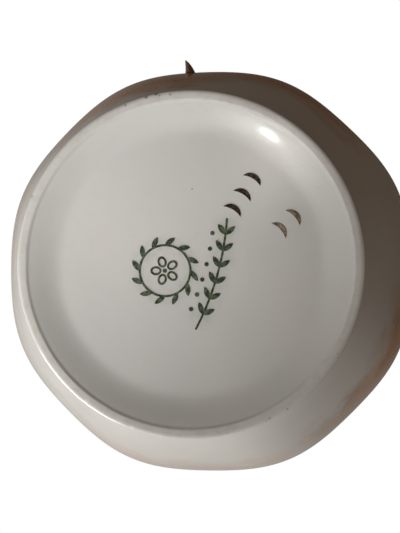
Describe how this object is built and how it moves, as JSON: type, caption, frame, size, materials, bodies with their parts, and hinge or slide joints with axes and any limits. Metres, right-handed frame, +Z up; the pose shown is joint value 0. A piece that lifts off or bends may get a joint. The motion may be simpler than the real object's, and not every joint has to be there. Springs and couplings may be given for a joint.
{
  "type": "porcelain vase",
  "caption": "Baluster vase with a softly ridged body, turned foot ring with recessed base, waisted neck and flared gilt lip; stands on a table and holds flowers.",
  "frame": {"origin": "centre of the foot ring's standing edge, on the surface the vase stands on", "axes": "+Z up along the vase's axis; X and Y each face the middle of a flat panel between two ridges"},
  "size_m": [0.1198, 0.1198, 0.178],
  "materials": {
    "glazed_foot": "white glazed porcelain, glaze wiped off the ground standing edge",
    "glazed_base": "white glazed porcelain, faint scratches and specks",
    "painted_glaze": "white glazed porcelain below, airbrushed amber ground with painted autumn leaves above",
    "painted_glaze_neck": "white glazed porcelain, amber ground fading out towards the lip",
    "gilding": "burnished gold film, a little worn",
    "stamp_green": "green stamp colour fired under the glaze",
    "painter_brown": "dark brown brush colour fired on the glaze",
    "painter_faded": "faint brown brush colour, worn thin"
  },
  "bodies": {
    "root": {"foot_ring": "glazed_foot", "base_plate": "glazed_base", "body": "painted_glaze", "leaf_tip": "painted_glaze", "neck": "painted_glaze_neck", "lip_gilding": "gilding", "neck_gilt_line": "gilding", "seam_gilt_line": "gilding", "stamp_wreath": "stamp_green", "stamp_flower": "stamp_green", "stamp_sprig": "stamp_green", "painter_strokes": "painter_brown", "faint_strokes": "painter_faded"}
  },
  "joints": []
}
